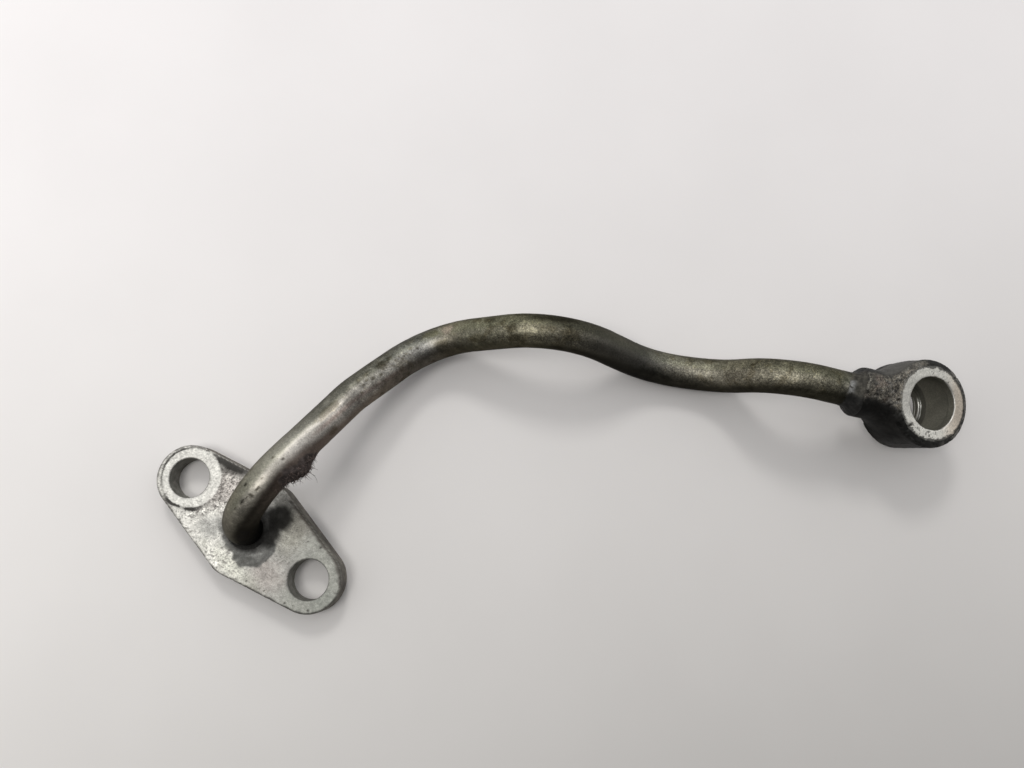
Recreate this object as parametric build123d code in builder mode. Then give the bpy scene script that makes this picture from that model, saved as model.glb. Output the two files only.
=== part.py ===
from build123d import *
import os

# Oil pipe: two-bolt flange, bent steel tube, banjo eye with neck, two brazed fillets.
# Millimetres. Origin at the centre of the oil port on the flange's sealing face, Z up
# along the port axis, X along the line of the two bolt holes.

# Flange
bolt_spacing = 38.0        # between the two bolt holes
bolt_hole_d = 9.5          # clearance for 8 mm screws
flange_thickness = 6.0
lobe_radius = 7.9          # rounded ends round the bolt holes
waist_half_width = 12.1    # half width across the middle
waist_corner_radius = 6.0
waist_shift = 0.5          # the side corners sit a little toward the second hole
flange_edge_chamfer = 0.4
hole_edge_chamfer = 0.3
port_d = 6.0               # oil port through the sealing face
port_depth = 1.5           # below it the port opens to the tube socket

# Tube
tube_od = 8.0
tube_wall = 1.0

# Banjo eye
eye_centre = Vector(104.50, 120.25, 12.30)
eye_axis = Vector(0.264, 0.071, 0.962).normalized()
neck_heading = Vector(-0.8410, -0.4696, 0.2655)    # from the eye toward the tube
eye_od = 20.3
eye_height = 12.9
eye_bore_d = 12.1          # for a 12 mm banjo bolt
bore_edge_chamfer = 0.2
seat_face_d = 17.0         # bright machined ring
seat_chamfer_height = 0.8
relief_d = 13.5            # shallow oil relief between the two lands of the bore
relief_width = 9.0
neck_od = 11.7
neck_mouth = 15.0          # from the eye axis to the mouth of the neck
root_start = 4.6           # the root of the neck tapers from here ...
root_end = 11.0            # ... to here
root_radius = 8.95         # at its wide end
root_half_height = 5.5     # the taper is flat above and below
socket_floor = 10.5        # the tube bottoms here
neck_port_d = 5.0

# Brazed fillets
flange_braze_reach = 1.25  # out along the flange from the tube wall
flange_braze_height = 1.4
neck_braze_reach = 1.65
neck_braze_length = 2.75

# Derived directions and planes
neck_out = (neck_heading - eye_axis * neck_heading.dot(eye_axis)).normalized()
eye_plane = Plane(origin=eye_centre, x_dir=neck_out, z_dir=eye_axis)
neck_plane = Plane(origin=eye_centre, x_dir=eye_axis, z_dir=neck_out)

# Tube centreline: corners of the straight runs and the bend radius at each corner
crest_distance = 34.7      # from the eye axis to the last bend corner
tube_corners = [
    Vector(0, 0, port_depth),
    Vector(0, 0, 27.16),
    Vector(0.57, 39.43, 13.90),
    Vector(4.17, 62.87, 4.25),
    Vector(14.20, 70.27, 11.32),
    Vector(29.17, 81.68, 20.62),
    Vector(51.03, 91.42, 3.36),
    Vector(65.80, 99.78, 4.81),
    eye_centre + neck_out * crest_distance,
    eye_centre + neck_out * socket_floor,
]
bend_radii = [14.0, 31.0, 18.5, 25.5, 23.0, 23.0, 14.0, 14.0]

os.makedirs("parts", exist_ok=True)

# Flange plate
with BuildPart() as flange:
    with BuildSketch(Plane.XY) as flange_outline:
        with Locations((-bolt_spacing / 2, 0), (bolt_spacing / 2, 0)):
            Circle(lobe_radius)
        with Locations(
            (waist_shift, waist_half_width - waist_corner_radius),
            (waist_shift, -(waist_half_width - waist_corner_radius)),
        ):
            Circle(waist_corner_radius)
        make_hull()
    extrude(amount=flange_thickness)
    chamfer(flange.faces().sort_by(Axis.Z)[-1].outer_wire().edges(), flange_edge_chamfer)
    # Bolt holes
    with BuildSketch(Plane.XY) as bolt_holes:
        with Locations((-bolt_spacing / 2, 0), (bolt_spacing / 2, 0)):
            Circle(bolt_hole_d / 2)
    extrude(amount=flange_thickness, mode=Mode.SUBTRACT)
    # Socket for the tube, then the smaller port to the sealing face
    with BuildSketch(Plane.XY.offset(port_depth)) as tube_socket:
        Circle(tube_od / 2)
    extrude(amount=flange_thickness - port_depth, mode=Mode.SUBTRACT)
    with BuildSketch(Plane.XY) as oil_port:
        Circle(port_d / 2)
    extrude(amount=port_depth, mode=Mode.SUBTRACT)
    chamfer(
        flange.edges()
        .filter_by(GeomType.CIRCLE)
        .filter_by(lambda e: abs(e.radius - bolt_hole_d / 2) < 0.01)
        .filter_by(lambda e: e.center().Z > flange_thickness / 2),
        hole_edge_chamfer,
    )
flange.part.label = "flange"

# Bent tube
with BuildPart() as oil_tube:
    with BuildLine() as tube_path:
        FilletPolyline(*tube_corners, radius=bend_radii)
    with BuildSketch(Plane(origin=tube_path.line @ 0, z_dir=tube_path.line % 0)) as tube_section:
        Circle(tube_od / 2)
        Circle(tube_od / 2 - tube_wall, mode=Mode.SUBTRACT)
    sweep(path=tube_path.line)
oil_tube.part.label = "oil_tube"

# Tapered root that carries the neck into the eye body
with BuildPart() as neck_root:
    with BuildSketch(Plane(origin=eye_centre, x_dir=eye_axis, z_dir=neck_out.cross(eye_axis) * -1)) as root_profile:
        Polygon(
            (0, root_start),
            (root_radius, root_start),
            (neck_od / 2, root_end),
            (0, root_end),
            align=None,
        )
    revolve(axis=Axis(eye_centre, neck_out))
    with BuildSketch(eye_plane.offset(-root_half_height)) as root_slab:
        Circle(eye_od)
    extrude(amount=2 * root_half_height, mode=Mode.INTERSECT)

# Banjo eye and neck
with BuildPart() as banjo_eye:
    # Eye body turned about its bore axis, with the two raised seat faces
    with BuildSketch(eye_plane.offset(-eye_height / 2)) as eye_disc:
        Circle(eye_od / 2)
    extrude(amount=eye_height)
    chamfer(
        banjo_eye.edges().filter_by(GeomType.CIRCLE),
        seat_chamfer_height,
        (eye_od - seat_face_d) / 2,
    )
    # Neck and its tapered root
    with BuildSketch(neck_plane.offset(eye_bore_d / 2 + 1.0)) as neck_section:
        Circle(neck_od / 2)
    extrude(amount=neck_mouth - eye_bore_d / 2 - 1.0)
    add(neck_root.part)
    # Bore with its oil relief
    with BuildSketch(eye_plane.offset(-eye_height / 2)) as eye_bore:
        Circle(eye_bore_d / 2)
    extrude(amount=eye_height, mode=Mode.SUBTRACT)
    chamfer(
        banjo_eye.edges()
        .filter_by(GeomType.CIRCLE)
        .filter_by(lambda e: abs(e.radius - eye_bore_d / 2) < 0.01),
        bore_edge_chamfer,
    )
    with BuildSketch(eye_plane.offset(-relief_width / 2)) as oil_relief:
        Circle(relief_d / 2)
    extrude(amount=relief_width, mode=Mode.SUBTRACT)
    # Tube socket and the drilling from it to the relief
    with BuildSketch(neck_plane.offset(socket_floor)) as neck_socket:
        Circle(tube_od / 2)
    extrude(amount=neck_mouth - socket_floor, mode=Mode.SUBTRACT)
    with BuildSketch(neck_plane.offset(eye_bore_d / 2 - 1.0)) as neck_port:
        Circle(neck_port_d / 2)
    extrude(amount=socket_floor - eye_bore_d / 2 + 1.0, mode=Mode.SUBTRACT)
banjo_eye.part.label = "banjo_eye"

# Brazed fillet round the tube on the flange
with BuildPart() as flange_braze:
    with BuildSketch(Plane.XZ) as flange_fillet_profile:
        with BuildLine() as flange_fillet_edge:
            foot = (tube_od / 2 + flange_braze_reach, flange_thickness)
            top = (tube_od / 2, flange_thickness + flange_braze_height)
            mid = (
                tube_od / 2 + flange_braze_reach * 0.36,
                flange_thickness + flange_braze_height * 0.36,
            )
            Line((tube_od / 2, flange_thickness), foot)
            ThreePointArc(foot, mid, top)
            Line(top, (tube_od / 2, flange_thickness))
        make_face()
    revolve(axis=Axis.Z)
flange_braze.part.label = "flange_braze"

# Brazed fillet round the tube at the mouth of the neck
with BuildPart() as neck_braze:
    with BuildSketch(Plane(origin=eye_centre, x_dir=eye_axis, z_dir=neck_out.cross(eye_axis) * -1)) as neck_fillet_profile:
        with BuildLine() as neck_fillet_edge:
            foot_n = (tube_od / 2 + neck_braze_reach, neck_mouth)
            top_n = (tube_od / 2, neck_mouth + neck_braze_length)
            mid_n = (
                tube_od / 2 + neck_braze_reach * 0.40,
                neck_mouth + neck_braze_length * 0.40,
            )
            Line((tube_od / 2, neck_mouth), foot_n)
            ThreePointArc(foot_n, mid_n, top_n)
            Line(top_n, (tube_od / 2, neck_mouth))
        make_face()
    revolve(axis=Axis(eye_centre, neck_out))
neck_braze.part.label = "neck_braze"

export_step(flange.part, "parts/flange.step")
export_step(oil_tube.part, "parts/oil_tube.step")
export_step(banjo_eye.part, "parts/banjo_eye.step")
export_step(flange_braze.part, "parts/flange_braze.step")
export_step(neck_braze.part, "parts/neck_braze.step")
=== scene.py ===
import bpy
import math
import numpy as np
from mathutils import Matrix, Vector


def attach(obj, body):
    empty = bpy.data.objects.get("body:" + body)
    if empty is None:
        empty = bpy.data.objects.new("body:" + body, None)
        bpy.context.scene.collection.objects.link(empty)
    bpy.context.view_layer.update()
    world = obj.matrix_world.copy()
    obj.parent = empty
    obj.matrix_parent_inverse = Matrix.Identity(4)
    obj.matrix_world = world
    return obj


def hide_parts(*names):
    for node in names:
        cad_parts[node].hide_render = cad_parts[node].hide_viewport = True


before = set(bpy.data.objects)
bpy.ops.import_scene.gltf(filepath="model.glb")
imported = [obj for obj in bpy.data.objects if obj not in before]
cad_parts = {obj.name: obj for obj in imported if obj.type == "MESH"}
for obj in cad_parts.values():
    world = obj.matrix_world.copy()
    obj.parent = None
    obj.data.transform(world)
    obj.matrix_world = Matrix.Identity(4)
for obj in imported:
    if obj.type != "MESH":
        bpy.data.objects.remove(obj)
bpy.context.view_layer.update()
MM = 0.001
scene = bpy.context.scene
scene.view_settings.view_transform = "Standard"
scene.view_settings.look = "None"

# ----------------------------------------------------------------------------
# The object's own numbers, in millimetres, in the row frame
# ----------------------------------------------------------------------------
HOLE_X = 19.0
HOLE_R = 4.75
PLATE = 6.0
LOBE_R = 7.9
TUBE_R = 4.0
BORE_R = 3.0
EYE = np.array([104.50, 120.25, 12.30])
EYE_N = np.array([0.264, 0.071, 0.962])
EYE_N = EYE_N / np.linalg.norm(EYE_N)
NECK = np.array([-0.8410, -0.4696, 0.2655])
NECK = NECK - EYE_N * NECK.dot(EYE_N)
NECK = NECK / np.linalg.norm(NECK)
SIDE = np.cross(EYE_N, NECK)
EYE_R = 10.15
EYE_H = 12.9
EYE_BORE = 6.05
SEAT_R = 8.5
NECK_R = 5.85
MOUTH = 15.0
SOCKET = 10.5

CORNERS = [
    (0, 0, 1.5),
    (0, 0, 27.16),
    (0.57, 39.43, 13.90),
    (4.17, 62.87, 4.25),
    (14.20, 70.27, 11.32),
    (29.17, 81.68, 20.62),
    (51.03, 91.42, 3.36),
    (65.80, 99.78, 4.81),
    tuple(EYE + NECK * 34.7),
    tuple(EYE + NECK * SOCKET),
]
RADII = [14.0, 31.0, 18.5, 25.5, 23.0, 23.0, 14.0, 14.0]


# ----------------------------------------------------------------------------
# Noise, smooth steps and surface extraction
# ----------------------------------------------------------------------------
def hash3(ix, iy, iz, seed):
    h = (
        ix.astype(np.uint32) * np.uint32(374761393)
        + iy.astype(np.uint32) * np.uint32(668265263)
        + iz.astype(np.uint32) * np.uint32(2246822519)
        + np.uint32((seed * 3266489917) & 0xFFFFFFFF)
    )
    h ^= h >> np.uint32(13)
    h *= np.uint32(1274126177)
    h ^= h >> np.uint32(16)
    return h.astype(np.float64) / 4294967295.0


def noise(p, scale, seed=1):
    """Smooth value noise from 0 to 1. scale is the feature size in mm."""
    q = np.asarray(p, float) / scale + 1000.0
    i = np.floor(q)
    f = q - i
    f = f * f * f * (f * (f * 6 - 15) + 10)
    i = i.astype(np.int64)
    out = np.zeros(len(q))
    for dx in (0, 1):
        wx = f[:, 0] if dx else 1 - f[:, 0]
        for dy in (0, 1):
            wy = f[:, 1] if dy else 1 - f[:, 1]
            for dz in (0, 1):
                wz = f[:, 2] if dz else 1 - f[:, 2]
                out += wx * wy * wz * hash3(i[:, 0] + dx, i[:, 1] + dy, i[:, 2] + dz, seed)
    return out


def fbm(p, scale, seed=1, octaves=4, gain=0.5):
    total, amp, norm = 0.0, 1.0, 0.0
    for k in range(octaves):
        total = total + amp * noise(p, scale / 2**k, seed + 17 * k)
        norm += amp
        amp *= gain
    return total / norm


def smooth(a, b, x):
    t = np.clip((x - a) / (b - a), 0.0, 1.0)
    return t * t * (3 - 2 * t)


def smax(a, b, k):
    h = np.maximum(k - np.abs(a - b), 0.0)
    return np.maximum(a, b) + h * h / (4 * k)


def smin(a, b, k):
    return -smax(-a, -b, k)


def lum(value, hue=(1.04, 1.0, 0.88)):
    """A linear colour of the given brightness and hue."""
    h = np.array(hue, float)
    return value * h / (h @ np.array([0.2126, 0.7152, 0.0722]))


def mix(a, b, t):
    t = np.asarray(t)[:, None]
    return np.asarray(a) * (1 - t) + np.asarray(b) * t


def stops(x, table):
    """Straight-line values through a short table of (place, value)."""
    table = sorted(table)
    xs = np.array([v[0] for v in table], float)
    ys = np.array([v[1] for v in table], float)
    if ys.ndim == 1:
        return np.interp(x, xs, ys)
    return np.stack([np.interp(x, xs, ys[:, c]) for c in range(ys.shape[1])], 1)


def surface(f, low, high, h):
    """Quads on f = 0 between two corners, by surface nets on a grid of pitch h, then moved on to f = 0."""
    low = np.array(low, float)
    size = np.ceil((np.array(high, float) - low) / h).astype(int) + 1
    axes = [low[i] + h * np.arange(size[i]) for i in range(3)]
    grid = np.empty(size, np.float32)
    yz = np.stack(np.meshgrid(axes[1], axes[2], indexing="ij"), -1).reshape(-1, 2)
    for i, x in enumerate(axes[0]):
        pts = np.column_stack([np.full(len(yz), x), yz])
        grid[i] = f(pts).reshape(size[1], size[2])
    inside = grid < 0
    nx, ny, nz = size - 1
    count = np.zeros((nx, ny, nz), np.int16)
    total = np.zeros((nx, ny, nz, 3), np.float32)
    corners = [(a, b, c) for a in (0, 1) for b in (0, 1) for c in (0, 1)]
    for a in corners:
        for axis in range(3):
            if a[axis]:
                continue
            b = list(a)
            b[axis] = 1
            sa = tuple(slice(a[k], a[k] + (nx, ny, nz)[k]) for k in range(3))
            sb = tuple(slice(b[k], b[k] + (nx, ny, nz)[k]) for k in range(3))
            cross = inside[sa] != inside[sb]
            va, vb = grid[sa], grid[sb]
            with np.errstate(divide="ignore", invalid="ignore"):
                t = np.where(cross, va / (va - vb), 0)
            for k in range(3):
                total[..., k] += np.where(cross, a[k] + (t if k == axis else 0), 0)
            count += cross
    used = count > 0
    index = np.full((nx, ny, nz), -1, np.int64)
    index[used] = np.arange(used.sum())
    cells = np.argwhere(used)
    verts = low + h * (cells + total[used] / count[used][:, None])
    faces = []
    for axis in range(3):
        u, v = (axis + 1) % 3, (axis + 2) % 3
        sl_a = [slice(None)] * 3
        sl_b = [slice(None)] * 3
        sl_a[axis] = slice(0, -1)
        sl_b[axis] = slice(1, None)
        ia, ib = inside[tuple(sl_a)], inside[tuple(sl_b)]
        edges = np.argwhere(ia != ib)
        ok = (edges[:, u] > 0) & (edges[:, v] > 0) & (edges[:, u] < size[u] - 1) & (edges[:, v] < size[v] - 1)
        edges = edges[ok]
        starts_in = ia[tuple(edges.T)]
        quad = []
        for du, dv in ((-1, -1), (0, -1), (0, 0), (-1, 0)):
            c = edges.copy()
            c[:, u] += du
            c[:, v] += dv
            quad.append(index[tuple(c.T)])
        quad = np.stack(quad, 1)
        quad[~starts_in] = quad[~starts_in][:, ::-1]
        faces.append(quad)
    faces = np.concatenate(faces)
    for _ in range(4):
        e = 0.02
        g = np.stack(
            [(f(verts + e * np.eye(3)[k]) - f(verts - e * np.eye(3)[k])) / (2 * e) for k in range(3)], 1
        )
        n2 = np.maximum((g * g).sum(1), 0.2)
        step = -f(verts)[:, None] * g / n2[:, None]
        length = np.linalg.norm(step, axis=1, keepdims=True)
        verts = verts + step * np.minimum(1, 0.5 * h / np.maximum(length, 1e-9))
    return verts, faces


def normals_of(verts, faces):
    a, b, c, d = (verts[faces[:, k]] for k in range(4))
    n = np.cross(c - a, d - b)
    out = np.zeros_like(verts)
    for k in range(4):
        np.add.at(out, faces[:, k], n)
    return out / np.maximum(np.linalg.norm(out, axis=1, keepdims=True), 1e-12)


def make_piece(name, verts, faces, material, node, colour, rough, metal=None, extra=None, sharp=None):
    mesh = bpy.data.meshes.new(name)
    mesh.from_pydata((verts * MM).tolist(), [], faces.tolist())
    mesh.validate()
    mesh.update()
    mesh.polygons.foreach_set("use_smooth", np.ones(len(mesh.polygons), bool))
    if sharp is not None:
        mesh.set_sharp_from_angle(angle=math.radians(sharp))
    col = np.ones((len(verts), 4), np.float32)
    col[:, :3] = colour
    a = mesh.attributes.new("tint", "FLOAT_COLOR", "POINT")
    a.data.foreach_set("color", col.ravel())
    values = {"rough": rough, "metal": np.ones(len(verts)) if metal is None else metal}
    values.update(extra or {})
    for key, val in values.items():
        a = mesh.attributes.new(key, "FLOAT", "POINT")
        a.data.foreach_set("value", np.ascontiguousarray(np.broadcast_to(val, (len(verts),)), dtype=np.float32))
    mesh.materials.append(material)
    obj = bpy.data.objects.new(name, mesh)
    scene.collection.objects.link(obj)
    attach(obj, "root")
    if node:
        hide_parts(node)
    return obj


# ----------------------------------------------------------------------------
# Node material helpers
# ----------------------------------------------------------------------------
class Tree:
    def __init__(self, name):
        self.mat = bpy.data.materials.new(name)
        self.mat.use_nodes = True
        self.t = self.mat.node_tree
        self.t.nodes.clear()
        self.out = self.t.nodes.new("ShaderNodeOutputMaterial")
        self.bsdf = self.t.nodes.new("ShaderNodeBsdfPrincipled")
        self.t.links.new(self.bsdf.outputs[0], self.out.inputs[0])
        self.coord = self.t.nodes.new("ShaderNodeTexCoord").outputs["Object"]

    def put(self, socket, value):
        if isinstance(value, bpy.types.NodeSocket):
            self.t.links.new(value, socket)
        elif value is not None:
            socket.default_value = value

    def attr(self, name, colour=False):
        n = self.t.nodes.new("ShaderNodeAttribute")
        n.attribute_name = name
        return n.outputs["Color" if colour else "Fac"]

    def noise(self, per_mm, detail=4.0, rough=0.55, stretch=None, distortion=0.0, seed=0.0):
        m = self.t.nodes.new("ShaderNodeMapping")
        self.t.links.new(self.coord, m.inputs["Vector"])
        s = per_mm * 1000.0
        m.inputs["Scale"].default_value = (s, s, s) if stretch is None else tuple(s * k for k in stretch)
        m.inputs["Location"].default_value = (seed * 3.1, seed * 7.7, seed * 1.3)
        n = self.t.nodes.new("ShaderNodeTexNoise")
        n.inputs["Scale"].default_value = 1.0
        n.inputs["Detail"].default_value = detail
        n.inputs["Roughness"].default_value = rough
        n.inputs["Distortion"].default_value = distortion
        self.t.links.new(m.outputs[0], n.inputs["Vector"])
        return n.outputs["Fac"]

    def cells(self, per_mm, feature="F1", randomness=1.0, seed=0.0):
        m = self.t.nodes.new("ShaderNodeMapping")
        self.t.links.new(self.coord, m.inputs["Vector"])
        s = per_mm * 1000.0
        m.inputs["Scale"].default_value = (s, s, s)
        m.inputs["Location"].default_value = (seed * 5.3, seed * 2.7, seed * 9.1)
        n = self.t.nodes.new("ShaderNodeTexVoronoi")
        n.feature = feature
        n.inputs["Scale"].default_value = 1.0
        n.inputs["Randomness"].default_value = randomness
        self.t.links.new(m.outputs[0], n.inputs["Vector"])
        return n.outputs["Distance"]

    def math(self, op, a, b=None, c=None, clamp=False):
        n = self.t.nodes.new("ShaderNodeMath")
        n.operation = op
        n.use_clamp = clamp
        self.put(n.inputs[0], a)
        self.put(n.inputs[1], b)
        self.put(n.inputs[2], c)
        return n.outputs[0]

    def step(self, value, lo, hi, out_lo=0.0, out_hi=1.0):
        n = self.t.nodes.new("ShaderNodeMapRange")
        n.interpolation_type = "SMOOTHSTEP"
        self.put(n.inputs["Value"], value)
        self.put(n.inputs["From Min"], lo)
        self.put(n.inputs["From Max"], hi)
        self.put(n.inputs["To Min"], out_lo)
        self.put(n.inputs["To Max"], out_hi)
        return n.outputs[0]

    def mixc(self, fac, a, b, blend="MIX"):
        n = self.t.nodes.new("ShaderNodeMix")
        n.data_type = "RGBA"
        n.blend_type = blend
        self.put(n.inputs[0], fac)
        self.put(n.inputs[6], a)
        self.put(n.inputs[7], b)
        return n.outputs[2]

    def bump(self, height, distance_mm, strength=1.0, normal=None):
        n = self.t.nodes.new("ShaderNodeBump")
        n.inputs["Strength"].default_value = strength
        n.inputs["Distance"].default_value = distance_mm * MM
        self.put(n.inputs["Height"], height)
        if normal is not None:
            self.put(n.inputs["Normal"], normal)
        return n.outputs[0]


def c4(r, g, b):
    return (r, g, b, 1.0)


# ----------------------------------------------------------------------------
# Tube
# ----------------------------------------------------------------------------
def centreline(step):
    pts = [np.array(c, float) for c in CORNERS]
    out = [pts[0]]
    for i in range(1, len(pts) - 1):
        a = pts[i - 1] - pts[i]
        b = pts[i + 1] - pts[i]
        a /= np.linalg.norm(a)
        b /= np.linalg.norm(b)
        ang = math.acos(float(np.clip(a @ b, -1, 1)))
        turn = math.pi - ang
        t = RADII[i - 1] / math.tan(ang / 2)
        p, q = pts[i] + a * t, pts[i] + b * t
        bis = (a + b) / np.linalg.norm(a + b)
        o = pts[i] + bis * RADII[i - 1] / math.sin(ang / 2)
        m = max(6, int(RADII[i - 1] * turn / 0.15))
        for k in range(m + 1):
            s = k / m
            out.append(o + (math.sin((1 - s) * turn) * (p - o) + math.sin(s * turn) * (q - o)) / math.sin(turn))
    out.append(pts[-1])
    out = np.array(out)
    seg = np.linalg.norm(np.diff(out, axis=0), axis=1)
    keep = np.concatenate([[True], seg > 1e-6])
    out = out[keep]
    s = np.concatenate([[0], np.cumsum(np.linalg.norm(np.diff(out, axis=0), axis=1))])
    n = int(s[-1] / step)
    ss = np.linspace(0, s[-1], n + 1)
    return np.stack([np.interp(ss, s, out[:, k]) for k in range(3)], 1), ss


def tube_frame(path):
    """Tangent, and two directions across: up is as near +Z as it can be, after the first bend."""
    t = np.gradient(path, axis=0)
    t /= np.linalg.norm(t, axis=1)[:, None]
    # parallel transport, started so that angle 0 points to -Y on the riser and so to +Z on the runs
    u = np.zeros_like(t)
    u[0] = (0, -1, 0)
    for i in range(1, len(t)):
        v = u[i - 1] - t[i] * (u[i - 1] @ t[i])
        u[i] = v / np.linalg.norm(v)
    # turn smoothly to the true up direction
    up = np.array([0, 0, 1.0]) - t * t[:, 2:3]
    up /= np.maximum(np.linalg.norm(up, axis=1, keepdims=True), 1e-9)
    w = smooth(0.25, 0.6, np.sqrt(np.maximum(0, 1 - t[:, 2] ** 2)))[:, None]
    w = np.maximum.accumulate(w, axis=0)
    u = u * (1 - w) + up * w
    u -= t * (u * t).sum(1, keepdims=True)
    u /= np.linalg.norm(u, axis=1, keepdims=True)
    return t, u, np.cross(t, u)


path, arc = centreline(0.26)
TOTAL = arc[-1]
tan, upv, sidev = tube_frame(path)
# sidev = t x u: for the runs, u is up and sidev points to the right seen along the pipe's way... left is +
RING = 88
ang = np.linspace(0, 2 * math.pi, RING, endpoint=False)


def tube_radius(s, a):
    """Outer radius in mm at arc length s and angle a (0 on top), with the marks of use."""
    r = np.full(np.broadcast(s, a).shape, TUBE_R)
    # the first bend is a little flattened, as bent tube is
    k = smooth(4, 10, s) * (1 - smooth(34, 42, s))
    r = r + k * (0.10 * np.sin(a) ** 2 - 0.16 * np.cos(a) ** 2)
    for s0, k0 in ((62, 0.07), (100, 0.06), (128, 0.06), (160, 0.07)):
        k = np.exp(-(((s - s0) / 8.0) ** 2))
        r = r + k * k0 * (np.sin(a) ** 2 - np.cos(a) ** 2)
    return r


S, A = np.meshgrid(arc, ang, indexing="ij")
R = tube_radius(S, A)


def flat(s0, length, a0, width, depth):
    """A flattened place: the surface is cut back towards a chord round angle a0."""
    da = (A - a0 + math.pi) % (2 * math.pi) - math.pi
    k = np.exp(-(((S - s0) / length) ** 4))
    w = np.exp(-((da / width) ** 4))
    return depth * k * w


R = R - flat(49.0, 6.5, -0.30, 0.42, 0.30)
R = R - flat(56.5, 2.2, 0.05, 0.35, 0.14)
pos = path[:, None, :] + R[..., None] * (
    np.cos(A)[..., None] * upv[:, None, :] + np.sin(A)[..., None] * sidev[:, None, :]
)
outer = pos.reshape(-1, 3)
wob = fbm(outer, 7.0, 5, 3) - 0.5
fine = fbm(outer, 1.6, 9, 3) - 0.5
radial = (outer - np.repeat(path, RING, axis=0))
radial /= np.linalg.norm(radial, axis=1, keepdims=True)
outer = outer + radial * (0.06 * wob + 0.03 * fine)[:, None]


def lint_cover(s, a):
    """How thick the caught lint lies, 0 to 1, at arc length s and angle a in degrees."""
    along_it = smooth(29.0, 34.0, s) * (1 - smooth(34.5, 40.5, s))
    return along_it * np.exp(-(((a - 92) / 34.0) ** 2))


deg_out = np.degrees((A.ravel() + math.pi) % (2 * math.pi) - math.pi)
lint_here = lint_cover(S.ravel(), deg_out)
tufted = 1.25 * lint_here * (0.25 + 1.5 * fbm(outer, 1.3, 301, 3)) + 0.5 * lint_here * (noise(outer, 0.45, 303) - 0.4)
outer = outer + radial * np.maximum(tufted, 0)[:, None]
outer[:, 2] = np.maximum(outer[:, 2], 0.01)
inner = (
    path[:, None, :]
    + BORE_R * (np.cos(A)[..., None] * upv[:, None, :] + np.sin(A)[..., None] * sidev[:, None, :])
).reshape(-1, 3)
NS = len(arc)


def grid_faces(rows, cols, start=0, flip=False):
    i = np.arange(rows - 1)[:, None] * cols
    j = np.arange(cols)[None, :]
    k = (j + 1) % cols
    q = np.stack([i + j, i + k, i + cols + k, i + cols + j], -1).reshape(-1, 4) + start
    return q[:, ::-1] if flip else q


faces_out = grid_faces(NS, RING)
coarse = np.arange(0, NS, 6)
if coarse[-1] != NS - 1:
    coarse = np.append(coarse, NS - 1)
inner_pts = inner.reshape(NS, RING, 3)[coarse].reshape(-1, 3)
faces_in = grid_faces(len(coarse), RING, len(outer), flip=True)
j = np.arange(RING)
k = (j + 1) % RING
o0, i0 = 0, len(outer)
o1, i1 = (NS - 1) * RING, len(outer) + (len(coarse) - 1) * RING
cap0 = np.stack([o0 + j, i0 + j, i0 + k, o0 + k], 1)
cap1 = np.stack([o1 + j, o1 + k, i1 + k, i1 + j], 1)
tube_v = np.concatenate([outer, inner_pts])
tube_f = np.concatenate([faces_out, faces_in, cap0, cap1])
# outward check
nn = normals_of(outer, faces_out)
if (nn * radial).sum() < 0:
    tube_f = tube_f[:, ::-1]

s_all = np.concatenate([S.ravel(), S[coarse].ravel()])
a_all = np.concatenate([A.ravel(), A[coarse].ravel()])
da_all = (a_all + math.pi) % (2 * math.pi) - math.pi
is_in = np.concatenate([np.zeros(len(outer)), np.ones(len(inner_pts))])

# brightness and hue along the pipe: bright beyond the first bend, then olive-brown, sooty by the eye
ws = s_all + 3.5 * (fbm(tube_v, 7.0, 31, 3) - 0.5)
level = stops(ws, [
    (0, 0.04), (9, 0.065), (16, 0.12), (21, 0.27), (33, 0.38), (43, 0.36), (48, 0.29), (52, 0.225), (57, 0.245), (66, 0.165),
    (77, 0.245), (84, 0.155), (90, 0.118), (98, 0.138), (106, 0.158), (118, 0.088), (134, 0.078), (140, 0.135),
    (148, 0.19), (156, 0.175), (167, 0.155), (180, 0.19), (185, 0.15), (188, 0.07), (196, 0.05),
])
hue = stops(ws, [
    (0, (1.05, 1.0, 0.80)), (18, (1.07, 1.0, 0.82)), (36, (1.05, 0.99, 0.91)), (50, (1.06, 1.0, 0.90)),
    (60, (1.05, 1.0, 0.88)), (76, (1.03, 1.0, 0.93)), (84, (1.10, 1.0, 0.77)), (90, (1.05, 1.0, 0.74)), (108, (1.08, 1.0, 0.72)),
    (120, (1.06, 1.0, 0.84)), (134, (1.04, 1.0, 0.90)), (144, (1.06, 1.0, 0.82)), (165, (1.09, 1.0, 0.77)),
    (183, (1.07, 1.01, 0.76)), (190, (1.0, 1.0, 0.95)),
])
tint = level[:, None] * hue
deg = np.degrees(da_all)
# soft patches of stain, and small mottling
big = fbm(tube_v, 4.5, 41, 3) - 0.5
mid = fbm(tube_v, 1.5, 43, 3) - 0.5
small = fbm(tube_v, 0.6, 45, 2) - 0.5
calm = smooth(26, 32, s_all) * (1 - smooth(44, 52, s_all)) + smooth(112, 119, s_all) * (1 - smooth(133, 139, s_all))
tint = tint * np.exp((1 - 0.65 * calm) * (0.55 * big + 0.45 * mid + 0.7 * small))[:, None]
blotch = smooth(0.58, 0.70, fbm(tube_v, 2.0, 49, 4)) * (1 - 0.8 * calm) * smooth(50, 58, s_all)
tint = mix(tint, tint * np.array([0.60, 0.55, 0.46]), 0.55 * blotch)
bare = smooth(0.60, 0.72, fbm(tube_v, 1.8, 53, 4)) * (1 - 0.8 * calm)
tint = tint * (1 + 0.25 * bare)[:, None]


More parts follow.
